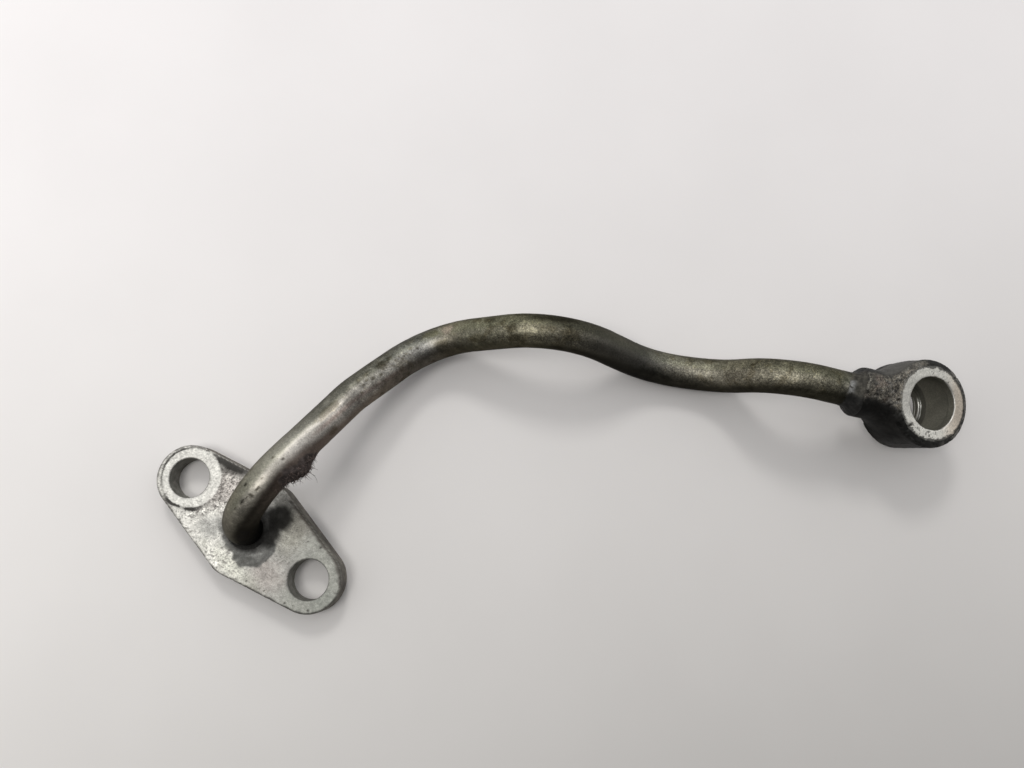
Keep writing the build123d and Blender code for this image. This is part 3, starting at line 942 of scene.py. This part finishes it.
# brown-grey speckle on the neck and the root, on the side turned up
ang_n = np.degrees(np.arctan2(v, w))
upper = smooth(40, 22, np.abs(ang_n + 12)) * smooth(3.0, 6.5, u)
upper = np.maximum(upper, smooth(36, 20, np.abs(ang_n + 6)) * smooth(11.5, 9.5, u) * smooth(3.0, 6.5, u))
by_ring = smooth(10.4, 9.2, er) * (w > 3.4) * smooth(4.2, 1.6, v) * smooth(1.0, 4.0, u)
upper = np.clip(upper + 0.85 * by_ring * (1 - seat), 0, 1)
plain_side = smooth(-42, -54, ang_n) * smooth(-118, -98, ang_n) * smooth(2.5, 5.0, u) * smooth(13.0, 10.5, u) * (er > 6.8)
e_tint = mix(e_tint, np.array([0.080, 0.077, 0.070]) * np.exp(0.7 * e1)[:, None], 0.85 * plain_side)
# painted shade: the neck and body on the side turned down are darkened
low_side_shade = smooth(14, 34, ang_n + 14 * e1) * smooth(3.0, 6.0, u) * (er > 6.8) * (1 - seat)
e_tint = e_tint * (1 - 0.34 * low_side_shade)[:, None]
dusty = upper * smooth(-0.34, 0.26, 0.55 * e1 + 0.6 * e2 + 0.5 * e3)
dust_level = stops(u, [(6, 1.25), (9, 1.25), (12, 1.25), (14, 1.10), (16, 0.62), (18, 0.45)])
e_tint = mix(e_tint, np.array([0.100, 0.090, 0.073]) * (dust_level * np.exp(1.3 * e3 + 1.0 * e2))[:, None], 0.85 * dusty)
flecks = upper * smooth(0.64, 0.76, noise(ev, 0.30, 133) + 0.3 * e1) * smooth(17.0, 12.0, u)
e_tint = mix(e_tint, np.array([0.22, 0.21, 0.19]), 0.55 * flecks)
pinkish = upper * smooth(0.04, 0.2, fbm(ev, 1.7, 135, 3) - 0.5) * smooth(10.5, 12.5, u)
e_tint = mix(e_tint, np.array([0.125, 0.095, 0.078]), 0.4 * pinkish)
lip_at = MOUTH + mouth_shift(ang_n)
mouth_lip = np.exp(-(((u - lip_at + 0.45) / 0.32) ** 2)) * smooth(44, 26, np.abs(ang_n + 10)) * (er > 7.5) * smooth(-0.10, 0.12, e2 + 0.5 * e3)
e_tint = mix(e_tint, np.array([0.20, 0.19, 0.165]), 0.6 * mouth_lip)
mid_grey = upper * smooth(12.0, 10.0, u) * smooth(0.02, 0.2, fbm(ev, 1.9, 137, 3) - 0.5)
e_tint = mix(e_tint, np.array([0.11, 0.108, 0.10]), 0.55 * mid_grey)
# seat rings: bare metal, with a ragged dark border
ragged = 0.32 * smooth(7.95, 8.50, er) + (0.60 * e2 + 0.40 * e3 + 0.20 * e1 + 0.10) * (0.30 + 0.70 * smooth(3.5, 6.5, np.abs(v))) - 0.02
worn = seat * (1 - smooth(0.16, 0.30, ragged))
# painted highlight: the bare metal is brightened toward both sides across the neck, most on the +v side
bare_ring_highlit = np.array([0.50, 0.488, 0.445]) * (np.exp(0.25 * e2 + 0.30 * e3) * (1 + 0.26 * smooth(-3.0, -7.0, v)) * (1 + 0.50 * smooth(1.5, 6.0, v)))[:, None]
far = smooth(-2.0, -7.0, u)
bare_ring_highlit = mix(bare_ring_highlit, bare_ring_highlit * np.array([0.93, 0.81, 0.72]), 0.8 * far)
e_tint = mix(e_tint, bare_ring_highlit, np.clip(worn + 0.12 * seat, 0, 1))
for (nu, nv, nr) in ((5.15, 6.3, 0.46), (0.15, 6.7, 0.24)):
    k = np.exp(-((((u - nu) ** 2 + (v - nv) ** 2) / nr**2) ** 2)) * (w > 5.0)
    e_tint = mix(e_tint, np.array([0.03, 0.028, 0.025]), 0.9 * k)
edge_worn = ((er > 8.9) & (w > 4.9)).astype(float) * (1 - seat) * smooth(0.02, 0.18, e2 + 0.5 * e1) * smooth(-3.0, -6.0, u)
e_tint = mix(e_tint, np.array([0.27, 0.255, 0.23]), 0.6 * edge_worn)
e_tint = mix(e_tint, np.array([0.190, 0.184, 0.150]) * np.exp(0.5 * n32)[:, None], np.clip(in_bore + in_relief, 0, 1) * (1 - seat))
# painted highlights: bright glint lines at the edges of the lower land, and along the upper lip of the bore
line_a = ((np.abs(w + 4.55) < 0.14) & (er < 6.9)).astype(float)
line_b = ((np.abs(w + 5.75) < 0.12) & (er < 6.4)).astype(float)
# painted shade: the lower part of the bore is darkened
deep_bore_shade = ((w < -3.0) & (er < 6.95)).astype(float)
e_tint = mix(e_tint, np.array([0.060, 0.058, 0.050]), 0.6 * deep_bore_shade)
land_glints = (0.8 * line_a + 0.8 * line_b) * smooth(1.0, -3.5, u) * smooth(3.2, 1.2, np.abs(v + 0.3))
e_tint = mix(e_tint, np.array([0.75, 0.74, 0.70]), np.clip(land_glints, 0, 1))
lip_glint = ((w > HALF - 0.32) & (er < EYE_BORE + 0.4)).astype(float) * (1 - seat) * smooth(-2, -5, u)
e_tint = mix(e_tint, np.array([0.75, 0.73, 0.68]), 0.8 * lip_glint)
e_tint = np.clip(e_tint, 0.008, 0.85)
metalness = np.clip(worn + land_glints + 0.6 * lip_glint, 0, 1)
e_rough = 0.60 - 0.24 * metalness - 0.10 * in_bore
e_metal = np.clip(0.30 + 0.65 * metalness + 0.4 * in_bore + 0.3 * in_relief, 0, 1)

E = Tree("eye_steel_sooty")
base = E.attr("tint", True)
g1 = E.noise(2.6, 4, 0.62)
g2 = E.noise(0.5, 4, 0.6, seed=5)
g3 = E.noise(5.0, 3, 0.6, seed=8)
spread = E.math("MULTIPLY", E.math("SUBTRACT", g1, 0.5), 1.3)
spread = E.math("ADD", spread, E.math("MULTIPLY", E.math("SUBTRACT", g3, 0.5), E.math("MULTIPLY_ADD", E.attr("pitted"), 4.5, 0.3)))
gain = E.math("EXPONENT", spread)
comb = E.t.nodes.new("ShaderNodeCombineColor")
for k in range(3):
    E.put(comb.inputs[k], gain)
col = E.mixc(1.0, base, comb.outputs[0], "MULTIPLY")
E.put(E.bsdf.inputs["Base Color"], col)
E.put(E.bsdf.inputs["Metallic"], E.attr("metal"))
E.bsdf.inputs["Specular Tint"].default_value = c4(0.6, 0.6, 0.6)
E.bsdf.inputs["Specular IOR Level"].default_value = 0.3
E.put(E.bsdf.inputs["Specular IOR Level"], E.attr("sheen"))
E.put(
    E.bsdf.inputs["Roughness"],
    E.math("ADD", E.attr("rough"), E.math("MULTIPLY", E.math("SUBTRACT", g1, 0.5), 0.3), clamp=True),
)
E.put(E.bsdf.inputs["Normal"], E.bump(g1, 0.05, 0.6))
eye_mat = E.mat
eye_obj = make_piece(
    "banjo_fitting", eye_world, ef, eye_mat, "banjo_eye", e_tint, e_rough, metal=e_metal,
    extra={"pitted": np.clip(upper * (1 - seat), 0, 1), "sheen": 0.35 - 0.22 * low_side_shade},
)


# ----------------------------------------------------------------------------
# Brazed fillets: turned profiles with an uneven edge
# ----------------------------------------------------------------------------
def bead(centre, axis, start, length, profile, seed, rows=26, cols=160):
    """A ring of filler round an axis. profile gives its radius from 0 at the foot to 1 at the far end."""
    axis = np.asarray(axis, float)
    x0 = np.cross(axis, (0.3, 0.9, 0.31))
    x0 /= np.linalg.norm(x0)
    y0 = np.cross(axis, x0)
    t = np.linspace(0, 1, rows)
    phi = np.linspace(0, 2 * math.pi, cols, endpoint=False)
    tt, pp = np.meshgrid(t, phi, indexing="ij")
    rnd = np.cos(pp)[..., None] * x0 + np.sin(pp)[..., None] * y0
    vary = fbm((rnd * 4.0).reshape(-1, 3), 2.2, seed, 3).reshape(tt.shape) - 0.5
    longer = 1 + 0.30 * vary
    rr = profile(tt) * (1 + 0.05 * vary)
    hh = start - 0.15 + (length * longer + 0.15) * tt
    pts = np.asarray(centre) + rr[..., None] * rnd + hh[..., None] * axis
    pts = pts.reshape(-1, 3)
    faces = grid_faces(rows, cols)
    n = normals_of(pts, faces)
    if (n * rnd.reshape(-1, 3)).sum() < 0:
        faces = faces[:, ::-1]
        n = -n
    pts = pts + n * (0.10 * (fbm(pts, 1.1, seed + 3, 3) - 0.5) * smooth(0.0, 0.1, tt.ravel()))[:, None]
    return pts, faces, tt.ravel(), rnd.reshape(-1, 3)


def braze_material(name):
    B = Tree(name)
    g = B.noise(2.2, 5, 0.6)
    gain = B.math("EXPONENT", B.math("MULTIPLY", B.math("SUBTRACT", g, 0.5), 1.8))
    comb = B.t.nodes.new("ShaderNodeCombineColor")
    for k in range(3):
        B.put(comb.inputs[k], gain)
    B.put(B.bsdf.inputs["Base Color"], B.mixc(1.0, B.attr("tint", True), comb.outputs[0], "MULTIPLY"))
    B.put(B.bsdf.inputs["Metallic"], B.attr("metal"))
    B.bsdf.inputs["Specular Tint"].default_value = c4(0.5, 0.5, 0.5)
    B.bsdf.inputs["Specular IOR Level"].default_value = 0.25
    B.put(B.bsdf.inputs["Roughness"], B.attr("rough"))
    B.put(B.bsdf.inputs["Normal"], B.bump(g, 0.05, 0.6))
    return B.mat


def foot_profile(t):
    return 3.92 + 1.42 * (1 - t) ** 2.3


bv, bf, bt, br = bead((0, 0, 0), (0, 0, 1), PLATE, 1.5, foot_profile, 201)
b_tint = np.array([0.030, 0.029, 0.027]) * np.exp(1.8 * (fbm(bv, 1.2, 203, 4) - 0.5))[:, None]
mat_b1 = braze_material("flange_filler_dark")
make_piece("flange_bead", bv, bf, mat_b1, "flange_braze", b_tint, 0.62, metal=0.2)


def collar(rows=44, cols=176):
    """The filler from the neck's uneven mouth down to the pipe, drawn out on the side turned up and the low side."""
    t = np.linspace(0, 1, rows)
    phi = np.linspace(0, 2 * math.pi, cols, endpoint=False)
    tt, pp = np.meshgrid(t, phi, indexing="ij")
    rnd = np.cos(pp)[..., None] * EYE_N + np.sin(pp)[..., None] * SIDE
    turned = (np.degrees(pp) + 180) % 360 - 180
    start = MOUTH + mouth_shift(turned.ravel()).reshape(tt.shape)
    length = stops(turned.ravel(), [(-180, 3.0), (-110, 3.0), (-70, 3.5), (-30, 4.0), (0, 4.3), (40, 4.5), (75, 4.6), (120, 3.6), (180, 3.0)]).reshape(tt.shape)
    vary = fbm((rnd * 4.0).reshape(-1, 3), 2.2, 211, 3).reshape(tt.shape) - 0.5
    fall = 0.80 * (1 - smooth(0.0, 0.62, tt)) + 0.20 * (1 - smooth(0.35, 1.0, tt))
    bulge = stops(turned.ravel(), [(-180, 0.1), (-110, 0.0), (-60, 0.05), (0, 0.0), (50, 0.45), (80, 0.65), (120, 0.3), (180, 0.1)]).reshape(tt.shape)
    rr = 3.94 + (1.62 + 0.20 * vary) * fall + bulge * np.exp(-(((tt - 0.22) / 0.25) ** 2))
    hh = start - 0.55 + (length * (1 + 0.25 * vary) + 0.55) * tt
    pts = EYE + rr[..., None] * rnd + hh[..., None] * NECK
    pts = pts.reshape(-1, 3)
    faces = grid_faces(rows, cols)
    n = normals_of(pts, faces)
    if (n * rnd.reshape(-1, 3)).sum() < 0:
        faces = faces[:, ::-1]
        n = -n
    rough_it = 0.22 * (fbm(pts, 1.6, 214, 3) - 0.5) + 0.10 * (fbm(pts, 0.7, 216, 2) - 0.5)
    pts = pts + n * (rough_it * smooth(0.0, 0.12, tt.ravel()) * smooth(1.0, 0.85, tt.ravel()))[:, None]
    return pts, faces, tt.ravel(), turned.ravel()


nv, nf, nt, na = collar()
c1 = fbm(nv, 1.3, 213, 4) - 0.5
c2 = fbm(nv, 0.6, 219, 3) - 0.5
n_tint = np.array([0.020, 0.0197, 0.0187]) * np.exp(1.4 * c1)[:, None]
facing = smooth(52, 30, np.abs(na + 18))
n_tint = mix(n_tint, np.array([0.046, 0.043, 0.036]) * np.exp(1.6 * c2 + 1.0 * c1)[:, None], 0.9 * facing)
far_end = smooth(0.55, 0.95, nt) * smooth(58, 30, np.abs(na + 14))
n_tint = mix(n_tint, np.array([0.095, 0.088, 0.066]) * np.exp(1.6 * c2)[:, None], 0.8 * far_end)
smear = np.exp(-(((nt - 0.66) / 0.13) ** 2)) * smooth(28, 12, np.abs(na - 2)) * smooth(-0.30, -0.02, c2 + 0.4 * c1)
smear = smear + 0.45 * np.exp(-(((nt - 0.95) / 0.10) ** 2)) * smooth(20, 8, np.abs(na + 16))
n_tint = mix(n_tint, np.array([0.25, 0.25, 0.245]), np.clip(0.95 * smear, 0, 1))
mat_b2 = braze_material("neck_filler_dark")
make_piece("neck_bead", nv, nf, mat_b2, "neck_braze", n_tint, 0.58, metal=0.3)


# ----------------------------------------------------------------------------
# Floor, camera and lights
# ----------------------------------------------------------------------------
floor_mesh = bpy.data.meshes.new("floor")
W = 3.0
floor_mesh.from_pydata([(-W, -W, -2e-5), (W, -W, -2e-5), (W, W, -2e-5), (-W, W, -2e-5)], [], [(0, 1, 2, 3)])
floor = bpy.data.objects.new("floor", floor_mesh)
scene.collection.objects.link(floor)
G = Tree("floor_board")
gn = G.noise(0.02, 4, 0.5)
gf = G.noise(1.2, 3, 0.6, seed=2)


def along(direction):
    n = G.t.nodes.new("ShaderNodeVectorMath")
    n.operation = "DOT_PRODUCT"
    G.t.links.new(G.coord, n.inputs[0])
    n.inputs[1].default_value = direction
    return n.outputs["Value"]


# painted shade: the board's colour is made darker to the right and toward the viewer, and a touch warmer toward the
# viewer, standing in for the light falling away
fa = G.math("MINIMUM", G.math("MAXIMUM", along((7.81, 6.25, 0.0)), -1.6), 2.6)
fb = G.math("MINIMUM", G.math("MAXIMUM", along((-6.25, 7.81, 0.0)), -1.3), 2.1)
part_a = G.math("MULTIPLY", fa, G.math("MULTIPLY_ADD", fb, 0.032, G.math("MULTIPLY_ADD", fa, 0.037, -0.131)))
part_b = G.math("MULTIPLY_ADD", fb, G.math("MULTIPLY_ADD", fb, -0.058, 0.182), 0.806)
fall = G.math("ADD", part_a, part_b)
comb = G.t.nodes.new("ShaderNodeCombineColor")
for k in range(3):
    G.put(comb.inputs[k], fall)
gcol = G.mixc(G.step(gn, 0.3, 0.7), c4(0.875, 0.868, 0.855), c4(0.90, 0.893, 0.88))
gcol = G.mixc(1.0, gcol, comb.outputs[0], "MULTIPLY")
gcol = G.mixc(1.0, gcol, G.mixc(G.step(fb, -0.8, 1.4), c4(1.025, 1.0, 0.98), c4(1.025, 1.0, 1.01)), "MULTIPLY")
G.put(G.bsdf.inputs["Base Color"], gcol)
G.bsdf.inputs["Roughness"].default_value = 0.6
G.bsdf.inputs["Specular IOR Level"].default_value = 0.2
G.put(G.bsdf.inputs["Normal"], G.bump(gf, 0.02, 0.25))
floor_mesh.materials.append(G.mat)

# camera: straight down but for 11 degrees, as measured from the two bolt holes
tx, yaw = math.radians(-11.0), math.radians(-38.68)
RX = Matrix(((1, 0, 0), (0, math.cos(tx), -math.sin(tx)), (0, math.sin(tx), math.cos(tx))))
BASE = Matrix(((1, 0, 0), (0, -1, 0), (0, 0, -1)))
RZ = Matrix(((math.cos(yaw), -math.sin(yaw), 0), (math.sin(yaw), math.cos(yaw), 0), (0, 0, 1)))
ROT = RX @ BASE @ RZ
right, down, forward = Vector(ROT[0]), Vector(ROT[1]), Vector(ROT[2])
cam_data = bpy.data.cameras.new("camera")
cam_data.sensor_width = 36.0
cam_data.lens = 770.0 / 1024.0 * 36.0
cam_data.clip_start = 0.005
cam = bpy.data.objects.new("camera", cam_data)
m = Matrix((right, -down, -forward)).transposed().to_4x4()
m.translation = Vector((0.0496, 0.0381, 0.1914))
cam.matrix_world = m
scene.collection.objects.link(cam)
scene.camera = cam

# directions on the floor as the photograph shows them
img_right = Vector((right.x, right.y, 0)).normalized()
img_up = Vector((-down.x, -down.y, 0)).normalized()
target = Vector((0.055, 0.065, 0.0))


def area(name, place, size, power, colour, aim=None, size_y=None):
    d = bpy.data.lights.new(name, "AREA")
    d.shape = "RECTANGLE"
    d.size = size
    d.size_y = size_y or size
    d.energy = power
    d.color = colour
    o = bpy.data.objects.new(name, d)
    o.location = place
    v = (aim or target) - Vector(place)
    o.rotation_euler = v.to_track_quat("-Z", "Y").to_euler()
    scene.collection.objects.link(o)
    return o


def toward(from_vertical, round_from_top):
    """A direction given as the photograph shows it: degrees from straight up, and clockwise from the picture's top."""
    a, b = math.radians(from_vertical), math.radians(round_from_top)
    return (img_up * math.cos(b) + img_right * math.sin(b)) * math.sin(a) + Vector((0, 0, 1)) * math.cos(a)


area("window", target + toward(43.0, -9.0) * 0.8, 0.15, 1.45, (1.0, 0.99, 0.97))
area("lamp", target + toward(21.0, -106.0) * 0.8, 0.24, 1.60, (1.0, 0.99, 0.97))

world = bpy.data.worlds.new("room")
scene.world = world
world.use_nodes = True
wt = world.node_tree
wt.nodes.clear()
wo = wt.nodes.new("ShaderNodeOutputWorld")
bg = wt.nodes.new("ShaderNodeBackground")
wt.links.new(bg.outputs[0], wo.inputs[0])
tc = wt.nodes.new("ShaderNodeTexCoord")
dot = wt.nodes.new("ShaderNodeVectorMath")
dot.operation = "DOT_PRODUCT"
wt.links.new(tc.outputs["Generated"], dot.inputs[0])
dot.inputs[1].default_value = tuple(toward(108.0, -7.0))
mr = wt.nodes.new("ShaderNodeMapRange")
mr.interpolation_type = "SMOOTHSTEP"
mr.inputs["From Min"].default_value = -0.52
mr.inputs["From Max"].default_value = -0.34
wt.links.new(dot.outputs["Value"], mr.inputs["Value"])
lift = wt.nodes.new("ShaderNodeSeparateXYZ")
wt.links.new(tc.outputs["Generated"], lift.inputs[0])
low = wt.nodes.new("ShaderNodeMapRange")
low.interpolation_type = "SMOOTHSTEP"
low.inputs["From Min"].default_value = 0.0
low.inputs["From Max"].default_value = 0.55
low.inputs["To Min"].default_value = 0.45
low.inputs["To Max"].default_value = 1.0
wt.links.new(lift.outputs["Z"], low.inputs["Value"])
both = wt.nodes.new("ShaderNodeMath")
both.operation = "MULTIPLY"
wt.links.new(mr.outputs[0], both.inputs[0])
wt.links.new(low.outputs[0], both.inputs[1])
ramp = wt.nodes.new("ShaderNodeMix")
ramp.data_type = "RGBA"
wt.links.new(both.outputs[0], ramp.inputs[0])
ramp.inputs[6].default_value = (0.035, 0.034, 0.032, 1)
ramp.inputs[7].default_value = (0.985, 0.99, 1.0, 1)
wt.links.new(ramp.outputs[2], bg.inputs["Color"])
bg.inputs["Strength"].default_value = 0.93
